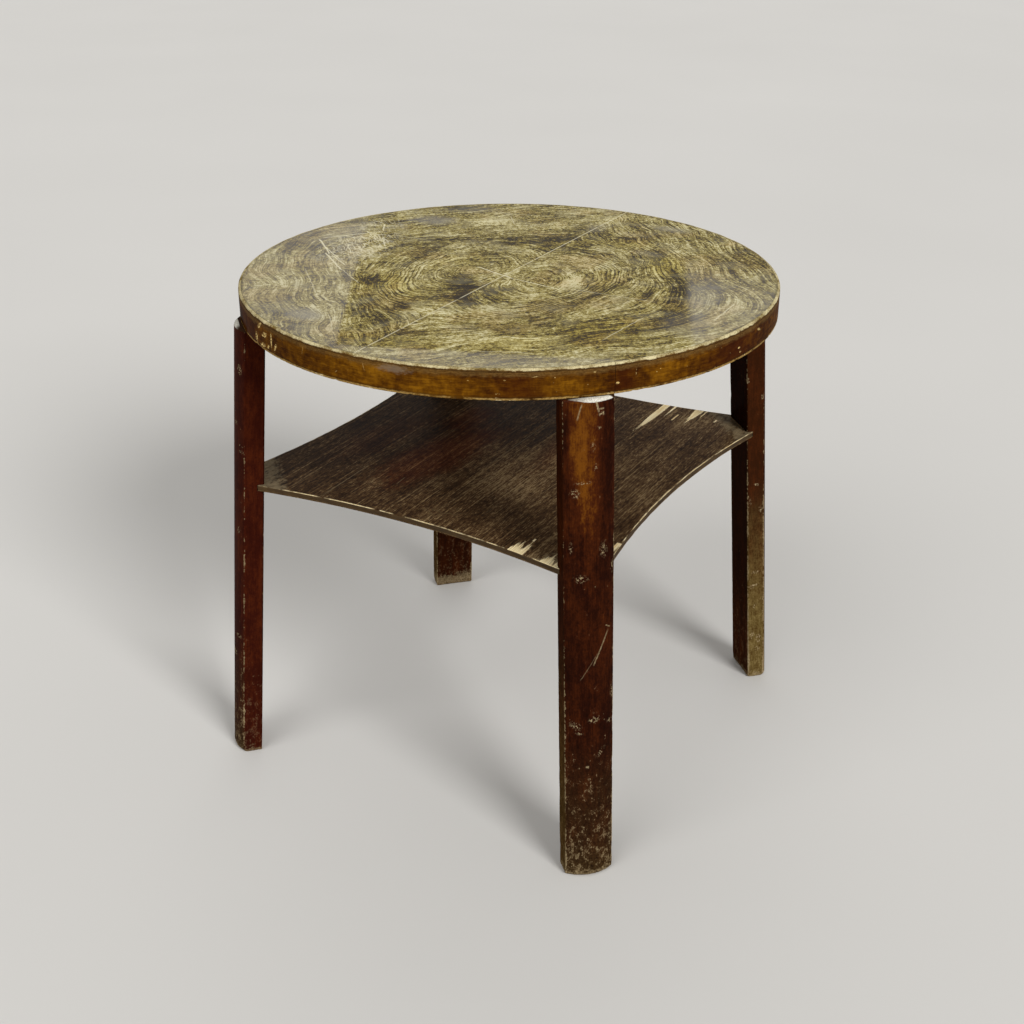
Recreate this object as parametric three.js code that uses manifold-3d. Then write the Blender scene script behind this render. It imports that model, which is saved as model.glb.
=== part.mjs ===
// Round two-tier coffee table: a veneered top, four flat legs under its rim that lean out a
// little, and a thin square shelf with hollow sides housed in the legs. Millimetres, +Z up.
// The origin is on the floor below the middle of the table. The shelf's sides face X and Y, so
// the legs stand on the diagonals, and the veneer's seam and grain run along Y.

import * as THREE from "three";
import { mergeVertices } from "three/addons/utils/BufferGeometryUtils.js";
import Module from "manifold-3d";

// Overall sizes
const topDiameter = 600;
const tableHeight = 573;
const shelfHeight = 357.5;
const shelfHollow = 18;

// Layers of the top
const faceVeneerThickness = 1;
const crossbandThickness = 2.5;
const coreThickness = 25;
const backVeneerThickness = 1;
const coreBoardCount = 5;

// Band bent round the edge of the top
const bandThickness = 3;
const bandTopRound = 2;
const bandBottomRound = 1;
const bandGlueGap = 0.3;
const bandButtGap = 0.3;

// Legs: the depth is at the middle of the convex face, the side depth at the arrises
const legWidth = 53;
const legDepth = 31;
const legSideDepth = 22.5;
const legProjection = 8;
const legSplay = THREE.MathUtils.degToRad(4.6);
const legArrisRound = 1.5;
const legTopRound = 4;
const footFaceRound = 6;
const footSideRound = 2.5;
const footInnerRound = 2;

// Dowels between each leg and the top
const dowelDiameter = 10;
const dowelSpacing = 28;
const dowelFromLegInner = 11;
const dowelInLeg = 25;
const dowelInTop = 17;
const dowelChamfer = 1;
const dowelSideClearance = 0.3;
const dowelEndClearance = 1;

// Plies of the shelf and the housing that takes it
const shelfVeneerThickness = 0.8;
const shelfPlyThickness = 1.8;
const dadoDepth = 8;
const dadoClearance = 0.3;

// How far a cutting solid runs past the face that it cuts
const cutOverrun = 2;

// Fineness of the round shapes
const rimSteps = 120;
const shelfSideSteps = 24;
const legFaceSteps = 16;
const cornerSteps = 3;
const roundSteps = 4;
const dowelSteps = 16;

// Sizes worked out from the ones above
const topRadius = topDiameter / 2;
const coreRadius = topRadius - bandThickness - bandGlueGap;
const backVeneerLevel = tableHeight - faceVeneerThickness - 2 * crossbandThickness
  - coreThickness - backVeneerThickness;
const lowerCrossbandLevel = backVeneerLevel + backVeneerThickness;
const coreLevel = lowerCrossbandLevel + crossbandThickness;
const upperCrossbandLevel = coreLevel + coreThickness;
const faceVeneerLevel = upperCrossbandLevel + crossbandThickness;
const legLength = backVeneerLevel;
const legInnerRadius = topRadius + legProjection - legDepth;
const shelfThickness = 2 * shelfVeneerThickness + 3 * shelfPlyThickness;
const shelfLevel = shelfHeight - shelfThickness;
const shelfSplayShift = splayShift(shelfHeight);
const shelfReach = legInnerRadius + shelfSplayShift + dadoDepth - dadoClearance;
const dowelRadius = dowelDiameter / 2;
const dowelHoleRadius = dowelRadius + dowelSideClearance;
const dowelAxisRadius = legInnerRadius + dowelFromLegInner;

const legs = [
  { name: "leg_front", angle: -Math.PI / 4 },
  { name: "leg_right", angle: Math.PI / 4 },
  { name: "leg_back", angle: (3 * Math.PI) / 4 },
  { name: "leg_left", angle: (5 * Math.PI) / 4 },
];
// The bands meet over the right-hand arris of the front leg and over the one across from it
const bandButtAngle = legs[0].angle + Math.asin(legWidth / 2 / topRadius);
const dowelSides = [
  { name: "dowel_left", offset: -dowelSpacing / 2 },
  { name: "dowel_right", offset: dowelSpacing / 2 },
];

// Finishes
const finish = (color, roughness) => new THREE.MeshStandardMaterial({ color, roughness, metalness: 0 });
const finishes = {
  figuredVeneer: finish(0x8a7b45, 0.35),
  rimWood: finish(0x6b3f12, 0.3),
  legWood: finish(0x4a1d0e, 0.35),
  shelfVeneer: finish(0x3a2b1e, 0.45),
  plyWood: finish(0x9a7a48, 0.7),
  coreWood: finish(0xc9a870, 0.8),
  backVeneer: finish(0x7a5a34, 0.7),
  dowelWood: finish(0xd2b27c, 0.7),
};

const wasm = await Module();
wasm.setup();

// How far the leaning legs have moved outwards at a level, from their tops under the rim
function splayShift(level) {
  return (legLength - level) * Math.tan(legSplay);
}

// A closed geometry as a solid that can be cut
function solidFrom(geometry) {
  const bare = geometry.clone();
  bare.deleteAttribute("normal");
  bare.deleteAttribute("uv");
  const merged = mergeVertices(bare);
  const mesh = new wasm.Mesh({
    numProp: 3,
    vertProperties: new Float32Array(merged.attributes.position.array),
    triVerts: new Uint32Array(merged.index.array),
  });
  return new wasm.Manifold(mesh);
}

function geometryFrom(solid) {
  const mesh = solid.getMesh();
  const geometry = new THREE.BufferGeometry();
  geometry.setAttribute("position", new THREE.BufferAttribute(mesh.vertProperties, 3));
  geometry.setIndex(new THREE.BufferAttribute(mesh.triVerts, 1));
  geometry.computeVertexNormals();
  return geometry;
}

// Points along a circular arc, both ends included
function arcPoints(x, y, radius, from, to, steps) {
  return Array.from({ length: steps + 1 }, (_, i) => {
    const angle = from + ((to - from) * i) / steps;
    return new THREE.Vector2(x + radius * Math.cos(angle), y + radius * Math.sin(angle));
  });
}

// A flat outline made as thick as a board lying at a level
function board(outline, level, thickness, holes = []) {
  const shape = new THREE.Shape(outline);
  shape.holes.push(...holes);
  const geometry = new THREE.ExtrudeGeometry(shape, { depth: thickness, bevelEnabled: false });
  geometry.translate(0, 0, level);
  return geometry;
}

// A skin through matching rings of points, with a flat end on the first and on the last.
// The outline is the rings' common order of points, laid flat and anticlockwise.
function loft(outline, rings) {
  const points = rings.flat();
  const count = outline.length;
  const ends = THREE.ShapeUtils.triangulateShape(outline, []);
  const index = [];
  for (let ring = 0; ring + 1 < rings.length; ring++) {
    for (let i = 0; i < count; i++) {
      const a = ring * count + i;
      const b = ring * count + ((i + 1) % count);
      index.push(a, b, b + count, a, b + count, a + count);
    }
  }
  const last = (rings.length - 1) * count;
  for (const [a, b, c] of ends) {
    index.push(c, b, a, last + a, last + b, last + c);
  }
  const geometry = new THREE.BufferGeometry().setFromPoints(points);
  geometry.setIndex(index);
  geometry.computeVertexNormals();
  return geometry;
}

function rotated(point, angle) {
  return point.clone().rotateAround(new THREE.Vector2(), angle);
}

// How far a rounded edge has drawn in at a distance from the end face
function roundInset(radius, distance) {
  const rest = Math.max(radius - distance, 0);
  return radius - Math.sqrt(radius * radius - rest * rest);
}

// Distances from the end face at which a rounded edge is sampled
function roundLevels(radius) {
  return Array.from({ length: roundSteps + 1 }, (_, i) => {
    return radius * (1 - Math.cos((i / roundSteps) * (Math.PI / 2)));
  });
}

// Top: veneer leaves, crossbands, core boards

// Where the dowels come up, in plan
const dowelPlaces = legs.flatMap(({ angle }) => {
  return dowelSides.map(({ offset }) => rotated(new THREE.Vector2(dowelAxisRadius, offset), angle));
});

function dowelHolePath({ x, y }) {
  return new THREE.Path(arcPoints(x, y, dowelHoleRadius, 0, 2 * Math.PI, dowelSteps).slice(1));
}

const discOutline = arcPoints(0, 0, coreRadius, 0, 2 * Math.PI, rimSteps).slice(1);

function halfDiscOutline(startAngle) {
  return arcPoints(0, 0, coreRadius, startAngle, startAngle + Math.PI, rimSteps / 2);
}

function veneerLeaf(side, level, thickness, drilled) {
  const startAngle = side > 0 ? -Math.PI / 2 : Math.PI / 2;
  const places = drilled ? dowelPlaces.filter(({ x }) => x * side > 0) : [];
  return board(halfDiscOutline(startAngle), level, thickness, places.map(dowelHolePath));
}

function crossband(level, drilled) {
  const places = drilled ? dowelPlaces : [];
  return board(discOutline, level, crossbandThickness, places.map(dowelHolePath));
}

function cylinderAt(place, radius, bottom, top) {
  const geometry = new THREE.CylinderGeometry(radius, radius, top - bottom, dowelSteps);
  geometry.rotateX(Math.PI / 2);
  geometry.translate(place.x, place.y, (bottom + top) / 2);
  return solidFrom(geometry);
}

// One edge-glued board of the core: a strip of the disc, with the blind dowel holes that reach it
function coreBoard(number) {
  const width = (2 * coreRadius) / coreBoardCount;
  const length = 2 * (coreRadius + cutOverrun);
  const height = coreThickness + 2 * cutOverrun;
  const strip = new THREE.BoxGeometry(width, length, height);
  strip.translate(width * (number + 0.5) - coreRadius, 0, coreLevel + coreThickness / 2);
  let solid = solidFrom(board(discOutline, coreLevel, coreThickness)).intersect(solidFrom(strip));
  for (const place of dowelPlaces) {
    const holeTop = legLength + dowelInTop + dowelEndClearance;
    solid = solid.subtract(cylinderAt(place, dowelHoleRadius, coreLevel - cutOverrun, holeTop));
  }
  return geometryFrom(solid);
}

// Rim band: a section rounded at its two outer corners, bent round half of the rim
function rimBand(startAngle) {
  const inner = topRadius - bandThickness;
  const section = [
    new THREE.Vector2(backVeneerLevel, inner),
    new THREE.Vector2(tableHeight, inner),
    ...arcPoints(tableHeight - bandTopRound, topRadius - bandTopRound, bandTopRound,
      0, Math.PI / 2, cornerSteps),
    ...arcPoints(backVeneerLevel + bandBottomRound, topRadius - bandBottomRound, bandBottomRound,
      Math.PI / 2, Math.PI, cornerSteps),
  ];
  const halfGapAngle = bandButtGap / 2 / topRadius;
  const from = startAngle + halfGapAngle;
  const to = startAngle + Math.PI - halfGapAngle;
  const rings = Array.from({ length: rimSteps / 2 + 1 }, (_, i) => {
    const angle = from + ((to - from) * i) / (rimSteps / 2);
    return section.map(({ x: level, y: radius }) => {
      return new THREE.Vector3(radius * Math.cos(angle), radius * Math.sin(angle), level);
    });
  });
  return loft(section, rings);
}

// Leg: a leaning flat board with a convex outer face, X outwards from its inner face at the top

function legSection(faceInset, sideInset, innerInset) {
  const bulge = legDepth - legSideDepth;
  const fullFaceRadius = (legWidth * legWidth) / (8 * bulge) + bulge / 2;
  const faceCentre = legDepth - fullFaceRadius;
  const faceRadius = fullFaceRadius - faceInset;
  const cornerY = legWidth / 2 - sideInset - legArrisRound;
  const reach = Math.sqrt((faceRadius - legArrisRound) ** 2 - cornerY ** 2);
  const faceAngle = Math.atan2(cornerY, reach);
  const outerX = faceCentre + reach;
  const innerX = innerInset + legArrisRound;
  const right = Math.PI / 2;
  return [
    ...arcPoints(innerX, -cornerY, legArrisRound, 2 * right, 3 * right, cornerSteps),
    ...arcPoints(outerX, -cornerY, legArrisRound, -right, -faceAngle, cornerSteps).slice(0, -1),
    ...arcPoints(faceCentre, 0, faceRadius, -faceAngle, faceAngle, legFaceSteps),
    ...arcPoints(outerX, cornerY, legArrisRound, faceAngle, right, cornerSteps).slice(1),
    ...arcPoints(innerX, cornerY, legArrisRound, right, 2 * right, cornerSteps),
  ];
}

function legGeometry() {
  const levels = [
    ...roundLevels(footFaceRound),
    footInnerRound,
    footSideRound,
    ...roundLevels(legTopRound).map((distance) => legLength - distance),
  ];
  const rings = [...new Set(levels)].sort((a, b) => a - b).map((level) => {
    const fromTop = legLength - level;
    const faceInset = roundInset(footFaceRound, level) + roundInset(legTopRound, fromTop);
    const sideInset = roundInset(footSideRound, level);
    const section = legSection(faceInset, sideInset, roundInset(footInnerRound, level));
    return section.map(({ x, y }) => new THREE.Vector3(x + splayShift(level), y, level));
  });
  const blank = solidFrom(loft(legSection(0, 0, 0), rings));

  const dadoHeight = shelfThickness + dadoClearance;
  const dado = new THREE.BoxGeometry(dadoDepth + cutOverrun, legWidth + 2 * cutOverrun, dadoHeight);
  dado.translate(shelfSplayShift + (dadoDepth - cutOverrun) / 2, 0, shelfLevel + dadoHeight / 2);
  let solid = blank.subtract(solidFrom(dado));
  for (const { offset } of dowelSides) {
    const place = new THREE.Vector2(dowelFromLegInner, offset);
    const holeBottom = legLength - dowelInLeg - dowelEndClearance;
    solid = solid.subtract(cylinderAt(place, dowelHoleRadius, holeBottom, legLength + cutOverrun));
  }
  return geometryFrom(solid);
}

function dowelGeometry() {
  const length = dowelInLeg + dowelInTop;
  const profile = [
    new THREE.Vector2(0, 0),
    new THREE.Vector2(dowelRadius - dowelChamfer, 0),
    new THREE.Vector2(dowelRadius, dowelChamfer),
    new THREE.Vector2(dowelRadius, length - dowelChamfer),
    new THREE.Vector2(dowelRadius - dowelChamfer, length),
    new THREE.Vector2(0, length),
  ];
  const geometry = new THREE.LatheGeometry(profile, dowelSteps);
  geometry.rotateX(Math.PI / 2);
  return geometry;
}

// Shelf: cut-off corners as wide as the legs, and hollow sides between them
function shelfOutline() {
  const tip = rotated(new THREE.Vector2(shelfReach, -legWidth / 2), Math.PI / 4);
  const sideRadius = (tip.y * tip.y) / (2 * shelfHollow) + shelfHollow / 2;
  const halfAngle = Math.asin(tip.y / sideRadius);
  const centre = tip.x - shelfHollow + sideRadius;
  const side = arcPoints(centre, 0, sideRadius, Math.PI + halfAngle, Math.PI - halfAngle, shelfSideSteps);
  return legs.flatMap(({ angle }) => side.map((point) => rotated(point, angle + Math.PI / 4)));
}

const table = new THREE.Group();

function add(parent, name, geometry, material) {
  const mesh = new THREE.Mesh(geometry, material);
  mesh.name = name;
  parent.add(mesh);
  return mesh;
}

for (const [name, side] of [["left", -1], ["right", 1]]) {
  const face = veneerLeaf(side, faceVeneerLevel, faceVeneerThickness, false);
  const back = veneerLeaf(side, backVeneerLevel, backVeneerThickness, true);
  add(table, `top_veneer_${name}`, face, finishes.figuredVeneer);
  add(table, `top_back_veneer_${name}`, back, finishes.backVeneer);
}
add(table, "top_crossband_upper", crossband(upperCrossbandLevel, false), finishes.plyWood);
add(table, "top_crossband_lower", crossband(lowerCrossbandLevel, true), finishes.plyWood);
for (let number = 0; number < coreBoardCount; number++) {
  add(table, `top_core_board_${number + 1}`, coreBoard(number), finishes.coreWood);
}
add(table, "rim_band_left", rimBand(bandButtAngle + Math.PI), finishes.rimWood);
add(table, "rim_band_right", rimBand(bandButtAngle), finishes.rimWood);

const legShape = legGeometry();
const dowelShape = dowelGeometry();
for (const { name, angle } of legs) {
  const corner = new THREE.Group();
  corner.rotation.z = angle;
  const leg = add(corner, name, legShape, finishes.legWood);
  leg.position.x = legInnerRadius;
  for (const { name: dowelName, offset } of dowelSides) {
    const dowel = add(corner, `${name}_${dowelName}`, dowelShape, finishes.dowelWood);
    dowel.position.set(dowelAxisRadius, offset, legLength - dowelInLeg);
  }
  table.add(corner);
}

const shelfPlies = [
  ["shelf_back_veneer", shelfVeneerThickness, finishes.shelfVeneer],
  ["shelf_crossband_lower", shelfPlyThickness, finishes.plyWood],
  ["shelf_core_ply", shelfPlyThickness, finishes.plyWood],
  ["shelf_crossband_upper", shelfPlyThickness, finishes.plyWood],
  ["shelf_top_veneer", shelfVeneerThickness, finishes.shelfVeneer],
];
let plyLevel = shelfLevel;
for (const [name, thickness, material] of shelfPlies) {
  add(table, name, board(shelfOutline(), plyLevel, thickness), material);
  plyLevel += thickness;
}

export default table;
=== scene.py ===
"""The round two-tier table, dressed: figured veneer, varnished rim, worn legs and a thin chipped shelf.

Sizes of pieces are in millimetres until a mesh is made, and finishes are worked out in millimetres too.
"""

from math import cos, hypot, pi, radians, sin, tan

import bpy
import numpy as np
from mathutils import Matrix, Vector


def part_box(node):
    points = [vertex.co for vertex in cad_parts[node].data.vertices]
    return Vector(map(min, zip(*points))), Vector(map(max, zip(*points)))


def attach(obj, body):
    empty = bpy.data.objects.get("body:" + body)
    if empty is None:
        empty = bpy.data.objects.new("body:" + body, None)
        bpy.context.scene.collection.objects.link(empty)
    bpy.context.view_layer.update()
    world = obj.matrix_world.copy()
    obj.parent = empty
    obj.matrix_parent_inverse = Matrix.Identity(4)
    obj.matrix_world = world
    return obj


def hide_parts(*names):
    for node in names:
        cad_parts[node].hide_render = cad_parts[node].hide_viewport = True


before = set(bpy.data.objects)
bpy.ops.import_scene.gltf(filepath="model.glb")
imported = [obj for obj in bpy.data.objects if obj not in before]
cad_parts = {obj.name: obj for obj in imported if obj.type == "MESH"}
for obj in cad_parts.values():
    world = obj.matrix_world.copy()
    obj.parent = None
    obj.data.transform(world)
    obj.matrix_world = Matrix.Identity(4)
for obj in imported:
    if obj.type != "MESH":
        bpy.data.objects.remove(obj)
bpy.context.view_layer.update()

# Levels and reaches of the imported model
TO_MM = 1000.0
RIM_LOW, RIM_HIGH = [corner.z * TO_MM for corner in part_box("rim_band_left")]
RIM_RADIUS = 300.0
VENEER_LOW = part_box("top_veneer_right")[0].z * TO_MM
VENEER_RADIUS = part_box("top_veneer_right")[1].x * TO_MM
SHELF_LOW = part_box("shelf_back_veneer")[0].z * TO_MM
SHELF_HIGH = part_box("shelf_top_veneer")[1].z * TO_MM
SHELF_PLIES = ["shelf_back_veneer", "shelf_crossband_lower", "shelf_core_ply", "shelf_crossband_upper",
               "shelf_top_veneer"]

# Rim and legs, as in the part's source
RIM_THICKNESS = 3.0
RIM_TOP_ROUND = 2.0
RIM_LOW_ROUND = 1.0
RIM_BUTT_GAP = 0.3
LEG_WIDTH = 53.0
LEG_DEPTH = 31.0
LEG_SIDE_DEPTH = 22.5
LEG_INNER_RADIUS = RIM_RADIUS + 8.0 - LEG_DEPTH
LEG_SPLAY = radians(4.6)
LEG_ARRIS_ROUND = 1.5
LEG_TOP_ROUND = 4.0
FOOT_FACE_ROUND = 6.0
FOOT_SIDE_ROUND = 2.5
FOOT_INNER_ROUND = 2.0
SHELF_HOLLOW = 18.0
DADO_DEPTH = 8.0
DADO_CLEARANCE = 0.3
LEG_ANGLES = {"leg_front": -pi / 4, "leg_right": pi / 4, "leg_back": 3 * pi / 4, "leg_left": 5 * pi / 4}
BUTT_ANGLE = -pi / 4 + np.arcsin(LEG_WIDTH / 2 / RIM_RADIUS)

# Details that only the look has
LEAF_EDGE_ROUND = 0.15
PLY_EDGE_ROUND = 0.12
CHIP_DEPTH = 0.45
SHARP_ANGLE = radians(40)
LATTICE = 64


# Shader maths


def operator(operation):
    """The method of a Term that adds a Math node."""
    return lambda self, *others: self.math(operation, *others)


class Term:
    """A value on its way through a material, with operators."""

    def __init__(self, finish, socket):
        self.finish, self.socket = finish, socket

    def math(self, operation, *others):
        return self.finish.node("ShaderNodeMath", {"operation": operation}, [self, *others])

    def __rsub__(self, other):
        return self.finish.node("ShaderNodeMath", {"operation": "SUBTRACT"}, [other, self])

    __add__ = __radd__ = operator("ADD")
    __sub__ = operator("SUBTRACT")
    __mul__ = __rmul__ = operator("MULTIPLY")
    __truediv__ = operator("DIVIDE")
    __abs__ = operator("ABSOLUTE")
    __lt__ = operator("LESS_THAN")
    __gt__ = operator("GREATER_THAN")
    __or__ = operator("MAXIMUM")
    __and__ = operator("MINIMUM")


def tone(*screen):
    """A colour written with 0 to 255 as on a screen, as the linear colour that a socket takes."""
    return (*(((c / 255 + 0.055) / 1.055) ** 2.4 if c > 10 else c / 255 / 12.92 for c in screen), 1.0)


class Finish:
    """A material and the few moves that all of them share."""

    def __init__(self, name, **constants):
        self.material = bpy.data.materials.new(name)
        self.material.use_nodes = True
        self.tree = self.material.node_tree
        self.tree.nodes.clear()
        self.shader = self.tree.nodes.new("ShaderNodeBsdfPrincipled")
        output = self.tree.nodes.new("ShaderNodeOutputMaterial")
        self.tree.links.new(self.shader.outputs[0], output.inputs["Surface"])
        for socket, value in constants.items():
            self.shader.inputs[socket.replace("_", " ")].default_value = value

    def node(self, kind, settings, values, output=0):
        """Adds a node: its settings first, then the values or links of its sockets, by place or by name."""
        node = self.tree.nodes.new(kind)
        for key, value in settings.items():
            if key == "stops":
                for _ in value[2:]:
                    node.color_ramp.elements.new(1.0)
                for element, (place, *colour) in zip(node.color_ramp.elements, value):
                    element.position, element.color = place, tone(*colour)
            else:
                setattr(node, key, value)
        for key, value in values.items() if isinstance(values, dict) else enumerate(values):
            if isinstance(value, Term):
                self.tree.links.new(value.socket, node.inputs[key])
            elif value is not None:
                node.inputs[key].default_value = value
        return Term(self, node.outputs[output])

    def vector(self, operation, *values):
        return self.node("ShaderNodeVectorMath", {"operation": operation}, values)

    def shrunk(self, vector, size):
        """A vector divided by size, one number or one for each axis."""
        return self.vector("DIVIDE", vector, size if isinstance(size, tuple) else (size,) * 3)

    def place(self):
        """The Object coordinates in millimetres, as a vector and as x, y, z."""
        metres = self.node("ShaderNodeTexCoord", {}, [], "Object")
        vector = self.vector("MULTIPLY", metres, (TO_MM,) * 3)
        return vector, *self.split(vector)

    def attribute(self, name):
        """A vector stored on the mesh, as a vector and as its three parts."""
        vector = self.node("ShaderNodeAttribute", {"attribute_name": name}, [], "Vector")
        return vector, *self.split(vector)

    def split(self, vector):
        node = self.tree.nodes.new("ShaderNodeSeparateXYZ")
        self.tree.links.new(vector.socket, node.inputs[0])
        return [Term(self, socket) for socket in node.outputs]

    def join(self, x, y, z=0.0):
        return self.node("ShaderNodeCombineXYZ", {}, [x, y, z])

    def noise(self, vector, size, detail=3.0, rough=0.55, seed=0.0):
        """Noise about 0.5 whose features measure size."""
        values = {"Vector": self.shrunk(vector, size), "Scale": 1.0, "Detail": detail,
                  "Roughness": rough, "W": seed}
        return self.node("ShaderNodeTexNoise", {"noise_dimensions": "4D"}, values)

    def vary(self, *values, **named):
        """The same noise about 0."""
        return self.noise(*values, **named) - 0.5

    def cells(self, vector, size, seed=0.0):
        """Distance from the nearest of scattered points, as a share of their spacing."""
        values = {"Vector": self.shrunk(vector, size), "Scale": 1.0, "W": seed}
        return self.node("ShaderNodeTexVoronoi", {"voronoi_dimensions": "4D"}, values)

    def rise(self, value, start, end):
        """0 before start, 1 after end, smooth between them; start may be above end."""
        values = [value, start, end, 0.0, 1.0]
        return self.node("ShaderNodeMapRange", {"interpolation_type": "SMOOTHSTEP"}, values)

    def mix(self, share, first, second, blend="MIX"):
        """first turning into second as share goes from 0 to 1. Colours are tuples or linked colours."""
        return self.node("ShaderNodeMix", {"data_type": "RGBA", "blend_type": blend},
                         {0: share, 6: first, 7: second}, 2)

    def cover(self, share, colour, amount, dark, light):
        """colour turning, as share goes from 0 to 1, into a tone that amount moves from dark to light."""
        return self.mix(share, colour, self.mix(amount, tone(*dark), tone(*light)))

    def ramp(self, value, *stops):
        """A colour ramp through stops of place, red, green and blue."""
        return self.node("ShaderNodeValToRGB", {"stops": stops}, [value])

    def spot(self, x, y, patch, ragged):
        """A soft patch (centre x, centre y, half length, half width, turn in degrees, strength)
        whose edge is made ragged by a noise value."""
        centre_x, centre_y, length, width, turn, strength = patch
        dir_x, dir_y = cos(radians(turn)), sin(radians(turn))
        along = ((x - centre_x) * dir_x + (y - centre_y) * dir_y) / length
        across = ((y - centre_y) * dir_x - (x - centre_x) * dir_y) / width
        distance = (along * along + across * across).math("SQRT") + ragged
        return self.rise(distance, 1.35, 0.45) * strength

    def stroke(self, x, y, line, wobble):
        """A thin line (start x, start y, end x, end y, width, strength), bent by wobble millimetres."""
        start_x, start_y, end_x, end_y, width, strength = line
        length = hypot(end_x - start_x, end_y - start_y)
        dir_x, dir_y = (end_x - start_x) / length, (end_y - start_y) / length
        along = (x - start_x) * dir_x + (y - start_y) * dir_y
        across = abs((y - start_y) * dir_x - (x - start_x) * dir_y + wobble)
        ends = self.rise(along, 0.0, 0.1 * length) * self.rise(along, length, 0.8 * length)
        return self.rise(across, width, 0.35 * width) * ends * strength

    def spots(self, x, y, patches, ragged):
        """The sum of soft patches."""
        return sum((self.spot(x, y, patch, ragged) for patch in patches), 0.0)

    def strokes(self, x, y, lines, wobble):
        """The sum of thin lines."""
        return sum((self.stroke(x, y, line, wobble) for line in lines), 0.0)

    def finish(self, colour, roughness=None, height=None, depth=0.1, coat=None):
        """Links what changes over the surface: colour, roughness, and a height in millimetres times depth."""
        links = {"Base Color": colour, "Roughness": roughness, "Coat Weight": coat}
        if height is not None:
            links["Normal"] = self.node("ShaderNodeBump", {}, {"Strength": 1.0, "Distance": depth / TO_MM,
                                                               "Height": height})
        for socket, value in links.items():
            if isinstance(value, Term):
                self.tree.links.new(value.socket, self.shader.inputs[socket])
            elif value is not None:
                self.shader.inputs[socket].default_value = value
        return self.material


# Shapes


def lattice_noise(u, v, seed):
    """Smooth noise from -1 to 1: random values on whole numbers of u and v, eased between them by 3t^2 - 2t^3.
    It repeats after LATTICE steps."""
    table = np.random.default_rng(seed).uniform(-1, 1, (LATTICE, LATTICE))
    column, row = np.floor(u).astype(int), np.floor(v).astype(int)
    s, t = u - column, v - row
    s, t = s * s * (3 - 2 * s), t * t * (3 - 2 * t)
    here, right, above = column % LATTICE, (column + 1) % LATTICE, (row + 1) % LATTICE
    row = row % LATTICE
    near = table[here, row] * (1 - s) + table[right, row] * s
    far = table[here, above] * (1 - s) + table[right, above] * s
    return near * (1 - t) + far * t


def arc(x, y, radius, start, end, count):
    """count points of a circle about (x, y), from one angle to another, both included."""
    angle = np.linspace(start, end, count)
    return np.stack([x + radius * np.cos(angle), y + radius * np.sin(angle)], -1)


def put(name, data):
    """A new object in the scene."""
    item = bpy.data.objects.new(name, data)
    bpy.context.scene.collection.objects.link(item)
    return item


def add_piece(name, points, finish, nodes, attributes=None):
    """A smooth mesh of rings of points in millimetres that stands for CAD nodes and rides on the table."""
    mesh = bpy.data.meshes.new(name)
    mesh.from_pydata((points.reshape(-1, 3) / TO_MM).tolist(), [], capped(*points.shape[:2]))
    mesh.validate()
    mesh.shade_smooth()
    mesh.set_sharp_from_angle(angle=SHARP_ANGLE)
    for key, values in (attributes or {}).items():
        layer = mesh.attributes.new(key, "FLOAT_VECTOR", "POINT")
        layer.data.foreach_set("vector", np.asarray(values, np.float32).ravel())
    mesh.materials.append(finish)
    piece = put(name, mesh)
    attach(piece, "root")
    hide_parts(*nodes)
    return piece


def capped(rows, columns):
    """Quads between rings of points, one ring to a row, and a many-sided face over the first and the last."""
    row, column = np.arange(rows - 1)[:, None] * columns, np.arange(columns)[None, :]
    after, above = (column + 1) % columns, row + columns
    quads = np.stack([row + column, row + after, above + after, above + column], -1).reshape(-1, 4)
    last = (rows - 1) * columns
    return quads.tolist() + [list(range(columns))[::-1], list(range(last, last + columns))]


def slab_points(outline, profile):
    """A flat body: each (share, inset, level) of the profile is one ring. A ring is the outline drawn in by
    inset along its normal, then shrunk to share about the outline's middle, at the level."""
    step = np.roll(outline, -1, 0) - np.roll(outline, 1, 0)
    inward = np.stack([-step[:, 1], step[:, 0]], -1) / np.linalg.norm(step, axis=1, keepdims=True)
    centre = outline.mean(0)
    share, inset, level = [np.asarray(column)[:, None, None] for column in zip(*profile)]
    flat = centre + share * (outline + inset * inward - centre)
    return np.concatenate([flat, np.broadcast_to(level, (*flat.shape[:2], 1))], -1)


def slab_profile(low, high, edge, shares):
    """Rings of a flat body from the middle of its underside, out round its edge, to the middle of its top."""
    side = [(1, edge * 0.3, low + edge * 0.3), (1, 0, low + edge), (1, 0, high - edge),
            (1, edge * 0.3, high - edge * 0.3)]
    return [(share, edge, low) for share in shares[::-1]] + side + [(share, edge, high) for share in shares]


def half_disc_outline(side):
    """Half of the veneer's disc: 180 steps of arc, and the straight seam in 60 steps. side is 1 for +X."""
    bow = arc(0, 0, VENEER_RADIUS, -pi / 2, pi / 2, 181)
    seam = np.stack([np.zeros(59), np.linspace(VENEER_RADIUS, -VENEER_RADIUS, 61)[1:-1]], -1)
    return np.concatenate([bow, seam]) * side


def shelf_outline():
    """Four circular arcs that hollow the sides by SHELF_HOLLOW, joined by cuts as wide as a leg."""
    reach = LEG_INNER_RADIUS + splay_shift(SHELF_HIGH) + DADO_DEPTH - DADO_CLEARANCE
    tip_x, tip_y = (reach + LEG_WIDTH / 2) / 2**0.5, (reach - LEG_WIDTH / 2) / 2**0.5
    radius = tip_y * tip_y / (2 * SHELF_HOLLOW) + SHELF_HOLLOW / 2
    half = np.arcsin(tip_y / radius)
    side = arc(tip_x - SHELF_HOLLOW + radius, 0, radius, pi + half, pi - half, 81)
    cut = np.stack([np.linspace(tip_x, tip_y, 13), np.linspace(tip_y, tip_x, 13)], -1)[1:-1]
    quarter = np.concatenate([side, cut])
    turns = [np.array([[cos(a), sin(a)], [-sin(a), cos(a)]]) for a in (0, pi / 2, pi, 3 * pi / 2)]
    return np.concatenate([quarter @ turn for turn in turns])


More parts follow.
